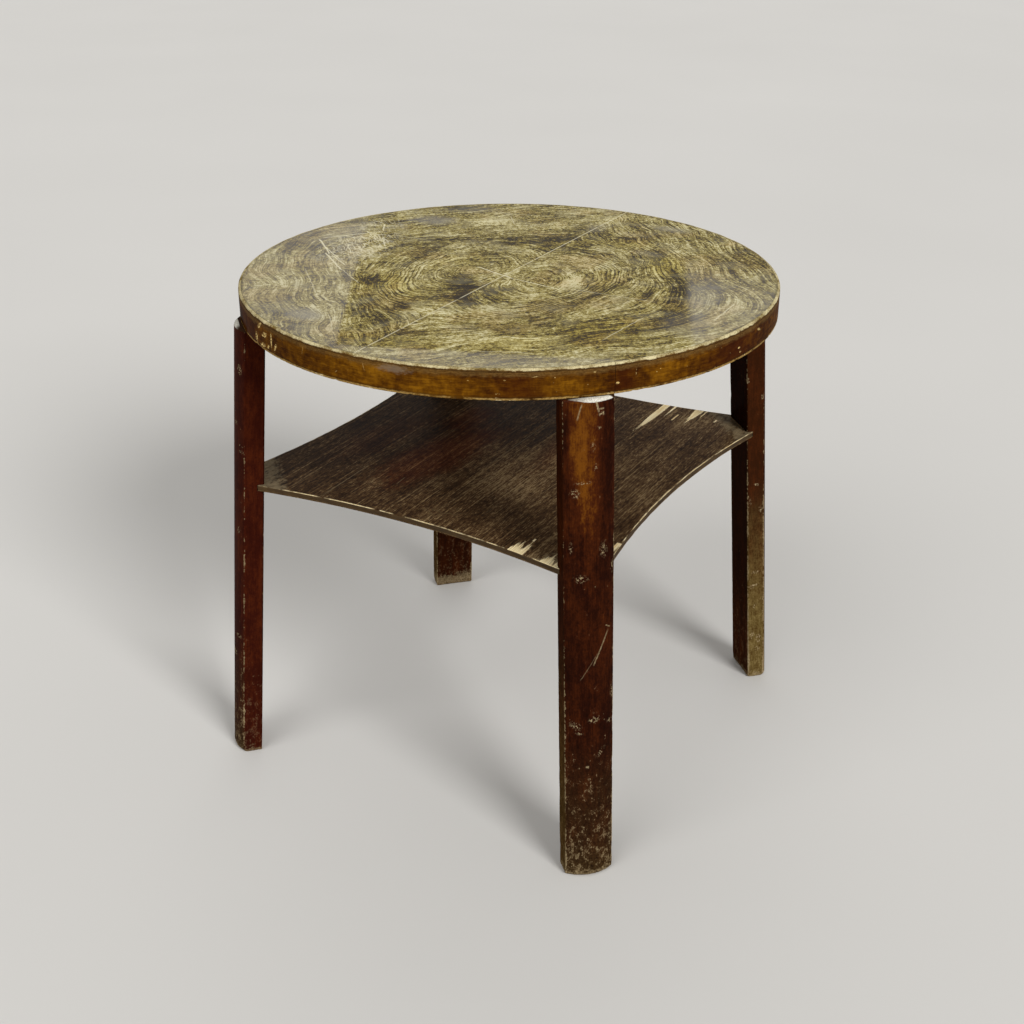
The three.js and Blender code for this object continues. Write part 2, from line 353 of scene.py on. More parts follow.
def splay_shift(level):
    """How far a leaning leg has moved outwards at a level, from its top under the rim."""
    return (RIM_LOW - level) * tan(LEG_SPLAY)


def drawn_in(radius, distance):
    """How far an edge rounded to a radius has drawn in at a distance from the end face."""
    rest = np.maximum(radius - distance, 0)
    return radius - np.sqrt(radius * radius - rest * rest)


def leg_sections(face_inset, side_inset, inner_inset):
    """Cross-sections of a leg, one for each inset: X outwards from the inner face, Y across. The outer face is
    an arc through the side depth at both arrises and the full depth in the middle. Corners are quarter rounds."""
    bulge = LEG_DEPTH - LEG_SIDE_DEPTH
    full = LEG_WIDTH * LEG_WIDTH / (8 * bulge) + bulge / 2
    centre, radius = LEG_DEPTH - full, full - face_inset
    corner = LEG_WIDTH / 2 - side_inset - LEG_ARRIS_ROUND
    reach = np.sqrt((radius - LEG_ARRIS_ROUND) ** 2 - corner**2)
    tilt = np.arctan2(corner, reach)
    inner_x, outer_x = inner_inset + LEG_ARRIS_ROUND, centre + reach

    def bend(x, y, size, start, end, count):
        angle = start + (end - start) * np.linspace(0, 1, count)
        return np.stack([x + size * np.cos(angle), y + size * np.sin(angle)], -1)

    def straight(x0, y0, x1, y1, count):
        share = np.linspace(0, 1, count + 2)[1:-1]
        return np.stack([x0 + (x1 - x0) * share, y0 + (y1 - y0) * share], -1)

    ones = np.ones_like(corner)
    arris, right = LEG_ARRIS_ROUND * ones, pi / 2 * ones
    return np.concatenate([
        bend(inner_x, -corner, arris, 2 * right, 3 * right, 6),
        straight(inner_x, -corner - arris, outer_x, -corner - arris, 8),
        bend(outer_x, -corner, arris, -right, -tilt, 6),
        bend(centre * ones, 0 * ones, radius, -tilt, tilt, 31)[:, 1:-1],
        bend(outer_x, corner, arris, tilt, right, 6),
        straight(outer_x, corner + arris, inner_x, corner + arris, 8),
        bend(inner_x, corner, arris, right, 2 * right, 6),
        straight(inner_x - arris, corner, inner_x - arris, -corner, 15),
    ], 1)


def leg_shape(angle, seed):
    """Points of one leg, ring by ring, and each point's place on the leg: out, across, level. Sections follow
    the rounds of foot and top, the housing pushes the inner face back to DADO_DEPTH, worn arrises are drawn
    in by noise, and every ring is moved outwards by the splay and turned by the leg's angle."""
    housing = [SHELF_LOW - 0.01, SHELF_LOW, SHELF_HIGH + DADO_CLEARANCE, SHELF_HIGH + DADO_CLEARANCE + 0.01]
    foot = FOOT_FACE_ROUND * (1 - np.cos(np.linspace(0, pi / 2, 9)))
    top = RIM_LOW - LEG_TOP_ROUND * (1 - np.cos(np.linspace(0, pi / 2, 7)))
    shaft = np.linspace(FOOT_FACE_ROUND, RIM_LOW - LEG_TOP_ROUND, 130)[1:-1]
    level = np.unique(np.concatenate([foot, shaft, housing, top]).round(4))[:, None]
    face = drawn_in(FOOT_FACE_ROUND, level) + drawn_in(LEG_TOP_ROUND, RIM_LOW - level)
    section = leg_sections(face, drawn_in(FOOT_SIDE_ROUND, level), drawn_in(FOOT_INNER_ROUND, level))
    out, across = section[..., 0], section[..., 1]

    # Dents: arrises, and the foot all round, move towards the middle of the section
    depth_share = np.minimum(out, LEG_SIDE_DEPTH - out) / 4
    side_share = (LEG_WIDTH / 2 - np.abs(across)) / 4
    arris = np.clip(1 - np.hypot(np.clip(depth_share, 0, 1), np.clip(side_share, 0, 1)), 0, 1)
    around = np.arctan2(across, out - LEG_DEPTH / 2) * 5 + 40
    long_dents = np.clip(lattice_noise(around, level / 23 + 3, seed) - 0.25, 0, 1) * 0.9
    short_dents = np.clip(lattice_noise(around * 1.7, level / 6 + 9, seed + 1) - 0.45, 0, 1) * 1.1
    foot_wear = np.exp(-level / 9) * (0.35 + 0.5 * lattice_noise(around * 2, level / 5, seed + 2))
    draw = arris * (long_dents + short_dents) + np.clip(foot_wear, 0, 1)
    middle = LEG_SIDE_DEPTH / 2
    length = np.maximum(np.hypot(out - middle, across), 1)
    out, across = out - draw * (out - middle) / length, across - draw * across / length

    housed = (level > SHELF_LOW - 0.005) & (level < SHELF_HIGH + DADO_CLEARANCE + 0.005)
    out = np.where(housed, np.maximum(out, DADO_DEPTH), out)
    level = np.broadcast_to(level, out.shape)
    radial = LEG_INNER_RADIUS + splay_shift(level) + out
    x, y = radial * cos(angle) - across * sin(angle), radial * sin(angle) + across * cos(angle)
    return np.stack([x, y, level], -1), np.stack([out, across, level], -1)


def rim_shape(start):
    """Half of the rim: its section, with round outer corners, is carried round half a circle. Chips bite into
    the lower corner and the upper one is worn down, both by noise of the angle."""
    inner = RIM_RADIUS - RIM_THICKNESS
    gap = RIM_BUTT_GAP / 2 / RIM_RADIUS
    angle = np.linspace(start + gap, start + pi - gap, 601)[:, None]
    face = np.linspace(RIM_HIGH - RIM_TOP_ROUND, RIM_LOW + RIM_LOW_ROUND, 14)[1:-1]
    section = np.concatenate([
        [(inner, RIM_LOW), (inner, RIM_HIGH), (inner + 0.4, RIM_HIGH)],
        arc(RIM_RADIUS - RIM_TOP_ROUND, RIM_HIGH - RIM_TOP_ROUND, RIM_TOP_ROUND, pi / 2, 0, 7),
        np.stack([np.full(12, RIM_RADIUS), face], -1),
        arc(RIM_RADIUS - RIM_LOW_ROUND, RIM_LOW + RIM_LOW_ROUND, RIM_LOW_ROUND, 0, -pi / 2, 5),
    ])
    radius, level = section[:, 0] + 0 * angle, section[:, 1] + 0 * angle
    lap = angle * RIM_RADIUS
    low = np.clip(1 - (level - RIM_LOW) / 5, 0, 1) * (radius > inner + 0.1)
    high = np.clip(1 - (RIM_HIGH - level) / 4, 0, 1) * (radius > inner + 0.5)
    chips = np.clip(lattice_noise(lap / 4.5, level / 3, 11) - 0.35, 0, 1) * 1.6
    wear = np.clip(0.25 + 0.5 * lattice_noise(lap / 17, level / 9, 12), 0, 1) * 0.5
    radius = radius - low * chips - high * wear
    level = np.where(radius > inner + 0.1, level - high * wear * 0.5 + low * chips * 0.35, level)
    return np.stack([radius * np.cos(angle), radius * np.sin(angle), level], -1)[:, ::-1]


# Finishes


# Worn and stained places, read from the photograph. A patch is (centre x, centre y, half length, half
# width, turn in degrees, strength), a line is (start x, start y, end x, end y, width, strength).
VENEER_DARK = [
    (-36, 134, 54, 18, 36, 1.2), (-54, 106, 34, 14, 35, 1.1), (34, 122, 34, 15, -24, 0.8),
    (-8, 112, 30, 14, 60, 0.7), (-26, -60, 44, 15, 122, 0.8), (4, -98, 50, 13, 112, 0.8),
    (22, -60, 26, 12, 70, 0.6), (-140, 76, 32, 9, 30, 1.5), (204, -8, 50, 17, 108, 0.55),
    (190, 40, 40, 12, 112, 0.6), (-112, -104, 28, 13, -40, 1.1), (-40, -156, 18, 8, -30, 1.1),
    (248, 22, 20, 6, 110, 0.7), (-45, -190, 60, 22, -30, 0.45), (52, 190, 14, 6, 10, 0.9),
    (-118, -6, 74, 5, 92, 0.7), (112, 150, 36, 9, 120, 0.6), (180, -66, 40, 18, 60, 0.5),
    (165, 66, 44, 11, 104, 0.6), (-262, -60, 46, 12, 80, 0.5), (30, -214, 46, 8, 30, 0.5),
    (-176, 212, 36, 9, 30, 0.5), (122, -10, 70, 4, 84, 0.7), (-205, 60, 30, 9, 60, 0.4)
]
VENEER_PALE = [
    (-112, 172, 62, 30, 20, 1), (80, -4, 30, 11, 84, 1.6), (62, 24, 26, 9, 120, 1.2),
    (-50, -20, 22, 12, 40, 0.9), (-222, -146, 56, 26, -30, 0.6), (52, -114, 40, 16, 30, 0.9),
    (262, -30, 46, 9, 112, 0.8), (-45, 215, 46, 11, 60, 0.9), (96, -190, 70, 18, 20, 0.8),
    (30, 20, 22, 8, -40, 0.7), (-195, -10, 40, 20, 100, 0.6), (60, 66, 40, 7, -40, 0.7),
    (142, -20, 40, 8, 88, 0.7), (-30, 60, 30, 8, -20, 0.6), (-88, 20, 34, 9, 80, 0.6),
    (10, -150, 40, 9, 25, 0.6), (-115, -208, 12, 5, -20, 2)
]
VENEER_GOLD = [
    (140, 112, 46, 24, 120, 1), (56, 168, 36, 20, 20, 0.8), (178, -122, 52, 36, 60, 1),
    (-108, -100, 40, 30, -60, 0.9), (12, -250, 60, 16, 10, 0.7), (-70, 10, 40, 24, 60, 0.4),
    (-200, -110, 36, 14, -40, 0.5), (120, -200, 50, 22, 40, 0.6), (-236, 110, 26, 12, 70, 0.6),
    (100, 40, 40, 16, 100, 0.6), (-20, 130, 60, 22, 30, 0.6), (-60, -110, 40, 20, 120, 0.5)
]
VENEER_GREY = [
    (-192, 140, 30, 22, 20, 1), (-112, -230, 26, 18, -20, 1), (84, 252, 26, 12, 0, 0.7),
    (222, 34, 60, 18, 108, 0.5), (-175, 205, 40, 14, 30, 0.5), (2, 212, 14, 22, 0, 0.5),
    (-255, 40, 56, 20, 85, 0.5), (104, 146, 20, 10, 0, 0.5), (240, -60, 40, 24, 110, 0.4)
]
VENEER_SCRATCHES = [
    (-266, 4, -216, 70, 1.3, 1.1), (-266, 2, -214, -46, 1.3, 1.1), (-218, 68, -236, 98, 1.1, 0.9),
    (-226, -40, -164, -90, 1.4, 1.1), (-214, -44, -172, -72, 1.1, 0.9), (-204, 46, -178, 14, 0.9, 0.9),
    (-240, -22, -186, -60, 0.9, 0.9), (-176, -80, -120, -118, 0.9, 0.6), (-236, 96, -262, 104, 0.9, 0.6),
    (-44, 2, 20, -18, 1.3, 1.1), (14, -16, 78, -24, 1, 0.9), (-118, 205, -90, 170, 0.8, 0.6),
    (-150, 210, -60, 232, 0.8, 0.6), (150, -210, 92, -236, 0.9, 0.6), (-210, -100, -120, -190, 0.8, 0.5),
    (-60, -250, -92, -214, 0.8, 0.5), (196, -60, 190, -150, 0.9, 0.6), (90, -16, 190, -10, 0.9, 0.5),
    (-222, 0, -196, -30, 0.9, 1), (-206, 12, -190, -20, 0.9, 0.9), (260, 30, 262, -40, 1.2, 0.7),
    (-250, 30, -226, 24, 0.8, 0.9), (-196, 60, -150, 64, 0.8, 0.7), (-238, 60, -200, 30, 0.8, 0.9)
]
# Straight edges of the painted reflection round the top: a point and the normal, and between which distances it
# ends
REFLECTION_ZONE_EDGES = [((-150, -87, 0.856, 0.517), (-2.5, 2.5)), ((200, 40, 0.9, 0.436), (6, -5)),
                   ((-30, -288, -0.37, 0.93), (-5, 5))]


def figured_veneer():
    """Olive-gold veneer, book-matched about the seam at x = 0. Its growth lines are the heights of a hill of
    ovals about an eye beside the seam that pass into long ovals about the seam; both leaves mirror one log.
    Wear, stains, scratches and a painted reflection round the outside then lie over both leaves."""
    f = Finish("figured_veneer", Specular_IOR_Level=0.08, Coat_Roughness=0.1, Coat_IOR=1.4)
    vector, x, y, _ = f.place()
    leaf_x = abs(x)
    mirrored = f.join(leaf_x, y)
    calm = f.rise(leaf_x, 110, 190)
    broad = f.mix(calm, f.noise(mirrored, 75, 2), f.noise(mirrored, 75, 0)) - 0.5
    curl = f.vary(mirrored, 30, 2, seed=3) * (1 - calm * 0.7)
    sway = f.mix(calm, f.noise(mirrored, 80, 2, seed=7), f.noise(mirrored, 80, 0, seed=7)) - 0.5
    warp_x = leaf_x + broad * 36 + curl * 5
    warp_y = y + sway * 50 - curl * 4
    eye_x, eye_y = (warp_x - 42) / 0.62, warp_y + 12
    eye = (eye_x * eye_x + eye_y * eye_y).math("SQRT")
    far = (warp_x + (eye_y * eye_y + 4000).math("SQRT")) * 0.8
    hill = eye + (far - eye) * f.rise(eye, 110, 210)
    around = eye_y.math("ARCTAN2", warp_x + 30)

    def flow(across, turns, detail=2, rough=0.55, seed=0):
        """Noise along the growth lines: across is its width in millimetres, turns its changes per radian."""
        return f.vary(f.join(hill / across, around * turns), 1, detail, rough, seed=seed)

    bands = flow(13, 1.3)
    feather = flow(6, 5, 3, 0.6, seed=16)
    strands = flow(2.6, 3, 2, 0.5)
    hairs = flow(1.1, 8, 2, 0.6, seed=15)
    cloud = f.vary(vector, 46, 2, 0.6, seed=5)
    mottle = f.vary(vector, 5, 3, 0.6, seed=2)
    fleck = f.vary(vector, (2.2, 2, 2), 2, 0.7, seed=12)
    phase = hill * (2 * pi / 7) + bands * 5 + feather * 1.5
    lines_drawn = f.rise(phase.math("SINE"), 0, 1)
    outer_side = f.rise(warp_x, 34, 66) * f.rise(abs(eye - 106), 42, 18)
    elsewhere = f.rise(f.noise(mirrored, 34, 2, seed=11), 0.45, 0.62) * f.rise(leaf_x, 230, 150)
    arcs = (lines_drawn - 0.4) * (outer_side | elsewhere * 0.6)

    ragged = f.vary(vector, 13, 4, 0.65, seed=9) * 1.8 + feather * 1.4
    dark = f.spots(x, y, VENEER_DARK, ragged)
    pale = f.spots(x, y, VENEER_PALE, ragged)
    gold = f.spots(x, y, VENEER_GOLD, ragged * 0.6)
    grey = f.spots(x, y, VENEER_GREY, ragged * 0.5)

    fine_lines = strands * 1.1 + hairs * 1.5 + fleck * 1.8
    shade = (0.48 - f.rise(y, 40, 180) * 0.03 + bands * 0.9 + feather * 1.2 + mottle * 1.5 + cloud * 1.1
             + fine_lines * (1 + f.rise(y, -60, 160) * 0.3) - arcs * 0.42 - (dark & 1.15) * 0.34
             + pale * 0.24)
    colour = f.ramp(shade, (0, 40, 29, 4), (0.22, 80, 64, 12), (0.48, 136, 120, 54),
                    (0.72, 168, 154, 92), (1.02, 212, 203, 160))
    brown = f.rise(f.noise(vector, 50, 3, seed=21), 0.48, 0.6)
    colour = f.mix(brown * 0.4, colour, tone(216, 188, 142), "MULTIPLY")
    dull = f.rise(f.noise(vector, 34, 3, seed=23), 0.5, 0.62)
    colour = f.mix(dull * 0.25, colour, tone(150, 142, 112))
    colour = f.mix((gold & 1) * 0.5, colour, tone(238, 226, 84), "MULTIPLY")
    colour = f.mix((grey & 1) * 0.5, colour, tone(138, 134, 126))

    # Painted reflection round the outside: paler and bluish outside the straight edges, fading out towards +Y
    inside = 1
    for (middle_x, middle_y, normal_x, normal_y), soft in REFLECTION_ZONE_EDGES:
        inside = f.rise((x - middle_x) * normal_x + (y - middle_y) * normal_y, *soft) * inside
    painted_reflection = (1 - inside) * f.rise(y, 180, 40)
    colour = f.mix(painted_reflection * 0.24, colour, tone(170, 164, 150))
    colour = f.mix(painted_reflection * 0.6, colour, tone(40, 42, 52), "ADD")

    wobble = f.vary(vector, 14, 2, seed=31) * 5
    lines = f.strokes(x, y, VENEER_SCRATCHES, wobble)
    scratched = f.spot(x, y, (-205, 0, 74, 42, 100, 1), ragged * 0.4) | f.spot(
        x, y, (-235, 90, 40, 26, 60, 0.7), ragged * 0.4)
    scrawl = f.rise(abs(f.vary(f.join(x * 0.7 + y * 0.7, (y - x) * 0.12), 6, 1)), 0.03, 0.008)
    scrawl = scrawl | f.rise(abs(f.vary(f.join(y * 0.9, x * 0.16), 5, 1, seed=41)), 0.026, 0.008)
    crumbs = f.rise(f.cells(vector, 7, 4), 0.16, 0.06) * f.rise(cloud, 0, 0.08)
    seam = f.rise(abs(x + wobble * 0.06), 1.1, 0.4) * f.rise(f.noise(vector, (9, 14, 9), 3), 0.3, 0.46)
    distance = (x * x + y * y).math("SQRT")
    edge = f.rise(distance + wobble * 0.8, VENEER_RADIUS - 2.6, VENEER_RADIUS - 0.8) * f.rise(
        feather + cloud, -0.1, 0.1)
    light = (lines + crumbs * 0.5 + scrawl * scratched * 0.8 + seam * 0.75) & 1
    colour = f.mix(light * 0.8, colour, tone(226, 218, 186))
    colour = f.mix(edge * 0.45, colour, tone(62, 54, 26))

    rough = 0.36 + grey * 0.12 + painted_reflection * 0.08 + mottle * 0.5 + light * 0.2
    height = strands * 0.8 + mottle * 0.5 - arcs * 0.3 - light * 0.6 + cloud * 1.5
    return f.finish(colour, rough, height, 0.12, coat=0.1)


# Places on the rim. Amber and red zones are (angle in degrees, half width in degrees, strength): partly the
# varnish's own tone and partly painted light, the amber zones painted highlights where the rim faces the light
# and the red zones painted shade; a mark is a patch whose centre is an angle in degrees and a level.
RIM_AMBER_AND_LIT = [
    (-80, 22, 0.9), (-50, 9, 0.4), (-29, 8, 1), (-98, 12, 0.5), (60, 30, 0.6), (120, 20, 0.8),
    (165, 14, 0.6), (-116, 8, 0.5)
]
RIM_RED_AND_SHADED = [
    (-58, 7, 0.8), (-38, 4, 1), (-10, 14, 1), (-126, 10, 0.9), (90, 12, 0.6), (30, 20, 0.7),
    (-145, 14, 1)
]
RIM_MARKS = [
    (-120.6, 550, 3, 5, 0, 1.6), (-116.6, 558, 6, 2.6, 20, 1.8), (-117.4, 546, 6, 2.2, 8, 1.5),
    (-113.6, 556, 8, 1.6, 85, 1.6), (-112, 552, 5, 1.8, 60, 1.2), (-39.4, 552, 1.7, 1.3, 0, 1.5),
    (-115, 548, 4, 1.6, 40, 1.1), (-118.6, 566, 6, 1.6, 30, 1.2), (-119, 563, 4, 1.4, 20, 0.8),
    (-8.9, 554, 2.2, 1.1, 0, 0.9), (-8.3, 549, 2, 1.1, 0, 0.7), (-0.5, 561, 5, 1.6, -20, 0.6),
    (-35.7, 560, 4, 0.5, 90, 0.4), (-87.6, 562, 5, 0.4, 105, 0.4), (-102.8, 562, 5, 0.4, 75, 0.4),
    (-60.5, 562, 1.2, 0.8, 0, 0.8), (-61.8, 548, 2, 0.7, 0, 0.5), (-44, 566, 2, 0.6, 0, 0.5),
    (-55, 565, 3, 0.5, 10, 0.4), (-94, 551, 2, 0.6, 40, 0.5)
]


def rim_varnish():
    """Amber-brown varnish over wood whose grain runs round the rim: noise drawn out flat along the lap."""
    f = Finish("rim_varnish", Specular_IOR_Level=0, Coat_Roughness=0.1, Coat_IOR=1.4)
    vector, x, y, z = f.place()
    angle = y.math("ARCTAN2", x) * (180 / pi)
    grain = f.vary(vector, (34, 34, 1.6), 3, 0.6)
    fine = f.vary(vector, (8, 8, 0.7), 3, 0.6, seed=2)
    cloud = f.vary(vector, (36, 36, 18), 2, seed=4)
    blotch = f.vary(vector, (9, 9, 7), 3, 0.6, seed=5)
    across = f.vary(vector, (2.6, 2.6, 16), 3, 0.6, seed=16)
    # Tone along the angle, partly painted light: amber brightens the lit zones, red darkens the shaded ones
    amber, red = (sum((f.rise(abs(angle - middle), half, 0) * weight for middle, half, weight in zones), 0)
                  for zones in (RIM_AMBER_AND_LIT, RIM_RED_AND_SHADED))
    # Painted shade: the rim darkens from -122 degrees to full at -140 degrees, its end away from the light
    painted_shade_end = f.rise(angle, -122, -140)
    shade = (0.44 + amber * 0.24 + grain * 0.5 + fine * 0.6 + cloud * 0.9 + blotch + across * 0.3
             - red * 0.16 - painted_shade_end * 0.2)
    colour = f.ramp(shade, (0, 22, 8, 2), (0.3, 54, 26, 4), (0.6, 88, 52, 5), (0.95, 128, 84, 12))
    colour = f.mix((red & 1) * 0.5, colour, tone(62, 24, 5))

    ragged = f.vary(vector, (6, 6, 2.6), 4, 0.7, seed=6)
    grit = f.vary(vector, (2.2, 2.2, 1.4), 3, 0.7, seed=19)
    patchy = f.vary(vector, 26, 2, seed=8)
    worn_face = f.rise(z + ragged * 9 + patchy * 7, RIM_HIGH - 10, RIM_HIGH - 5.5)
    colour = f.cover(worn_face * 0.7, colour, fine * 2 + grit * 2 + 0.45, (66, 44, 16), (120, 92, 50))
    under_arris = f.rise(abs(z + ragged * 2 - RIM_HIGH + 2.9), 1.2, 0.4)
    colour = f.mix(under_arris * 0.55, colour, tone(40, 24, 9))
    # Pale broken line along the rounded top arris: partly worn varnish, partly painted highlight on the rounded
    # edge
    arris = f.rise(z + ragged * 4 + patchy * 4, RIM_HIGH - 2.1, RIM_HIGH - 1.2)
    colour = f.cover(arris * 0.85, colour, grit * 2.4 + patchy * 3 + 0.5, (120, 102, 56), (216, 204, 160))
    low_dark = f.rise(z + ragged * 2, RIM_LOW + 5, RIM_LOW + 2.8)
    colour = f.mix(low_dark * 0.5, colour, tone(46, 30, 8))
    low_line = f.rise(z + ragged * 3, RIM_LOW + 2.9, RIM_LOW + 1.9) * f.rise(patchy + ragged * 0.6, -0.14, 0.02)
    colour = f.cover(low_line * 0.75, colour, grit * 2.4 + 0.4, (110, 78, 28), (206, 172, 104))
    low_chips = f.rise(z - ragged * 13 - patchy * 15 - grit * 3, RIM_LOW - 1.5, RIM_LOW - 2.5)
    colour = f.cover(low_chips, colour, grit * 3 + 0.5, (128, 100, 58), (220, 200, 152))
    specks = f.rise(f.cells(vector, (7, 7, 4.5), 2) + grit * 0.25, 0.14, 0.06) * f.rise(patchy, -0.05, 0.04)
    dust = f.rise(f.cells(vector, (3.4, 3.4, 2.6), 5) + grit * 0.3, 0.11, 0.04) * f.rise(blotch, -0.02, 0.06)
    lap = RIM_RADIUS * pi / 180
    marks = [(place * lap, *rest) for place, *rest in RIM_MARKS]
    nicks = f.spots(angle * lap, z, marks, ragged * 2.6 + grit * 1.6) * f.rise(grit + ragged * 0.4, -0.05, 0.02)
    nicked = (specks * 0.6 + dust * 0.4 + nicks) & 1
    colour = f.cover(nicked, colour, grit * 3 + 0.5, (160, 116, 40), (250, 222, 150))
    scuff = f.spot(angle * lap, z, (-81.5 * lap, 565, 16, 4, 0, 0.6), ragged * 2.5)
    colour = f.mix(scuff, colour, tone(120, 104, 86))
    joint = f.rise(abs(angle - BUTT_ANGLE * 180 / pi) * lap, 0.8, 0.25)
    colour = f.mix(joint * 0.35, colour, tone(40, 16, 8))
    rough = 0.34 + worn_face * 0.15 + low_chips * 0.3 + fine * 0.5 + scuff * 0.3
    height = grain + fine * 0.8 - worn_face * 0.4 - low_chips - nicks * 0.8
    return f.finish(colour, rough, height, 0.1, coat=0.06 - (arris | low_chips) * 0.06)


# How each leg differs, as leg_varnish takes it. Marks and lines lie on the outer face (across, level), side
# marks on the side that the photograph shows (out, level).
LEG_WEAR_AND_PAINTED_LIGHT = {
    "leg_front": {
        "amber_highlight": 0.4, "fade": 0.4, "bare": (-30, 4),
        "marks": [
            (3, 194, 7, 4, 10, 1.1), (-16, 188, 7, 4, -20, 1.2), (-13, 180, 5, 3, -30, 0.8),
            (11, 154, 8, 3, 50, 0.9), (-4, 138, 3, 2, 0, 0.9), (21, 188, 4, 3, 0, 0.8),
            (13, 384, 5, 9, 0, 0.8), (-16, 446, 5, 5, 0, 1), (-8, 457, 8, 2, 5, 1.1),
            (11, 526, 4, 2.4, 10, 1.1), (2, 494, 3, 5, 0, 0.7), (5, 472, 2, 5, 0, 0.7), (8, 512, 3, 2, 0, 0.8),
            (-10, 355, 7, 5, 0, 0.8), (-20, 388, 2, 6, 0, 0.7), (24, 222, 2, 9, 0, 0.9),
            (24, 364, 2, 9, 0, 0.8)
        ],
        "lines": [
            (2, 256, 20, 296, 1.1, 0.6), (-12, 240, 8, 272, 0.6, 0.3), (5, 540, 8, 527, 1.4, 0.9),
            (8, 531, 14, 531, 1.2, 0.8), (-9, 538, -14, 520, 1, 0.6), (16, 300, 22, 296, 0.9, 0.7)
        ],
    },
    "leg_right": {
        "fade": 0.9, "rubbed": 0.6,
        "side_marks": [
            (8, 140, 7, 3, 20, 1.6), (15, 60, 4, 7, 0, 1.8), (5, 66, 4, 7, 0, 1.6), (13, 44, 4, 4, 0, 1.5),
            (12, 160, 8, 2, 5, 1.5), (20, 512, 3, 6, 0, 1.8), (20, 402, 2, 4, 0, 1.6), (18, 250, 3, 5, 0, 1.5),
            (4, 262, 2, 4, 0, 1.5), (12, 285, 4, 2, 0, 1.2), (2, 425, 2, 4, 0, 1.4), (10, 110, 4, 2, 60, 1.3)
        ],
    },
    "leg_back": {"fade": 0.3, "rubbed": 0.4, "foot_wear": 20},
    "leg_left": {
        "red": 0.6, "rubbed": -0.5, "bare": (16, 4), "rim_shadow_reach": 26.5,
        "marks": [
            (18, 494, 5, 7, 0, 1.2), (22, 398, 5, 2, 0, 1.5), (21, 405, 4, 1.5, 0, 1.3),
            (-14, 226, 6, 6, 0, 1.2), (4, 134, 10, 5, 0, 1.3), (18, 161, 6, 3, 0, 1.1),
            (17, 300, 4, 5, 0, 0.9), (-15, 205, 5, 4, 0, 0.9), (10, 430, 5, 3, 0, 0.8)
        ],
    },
}


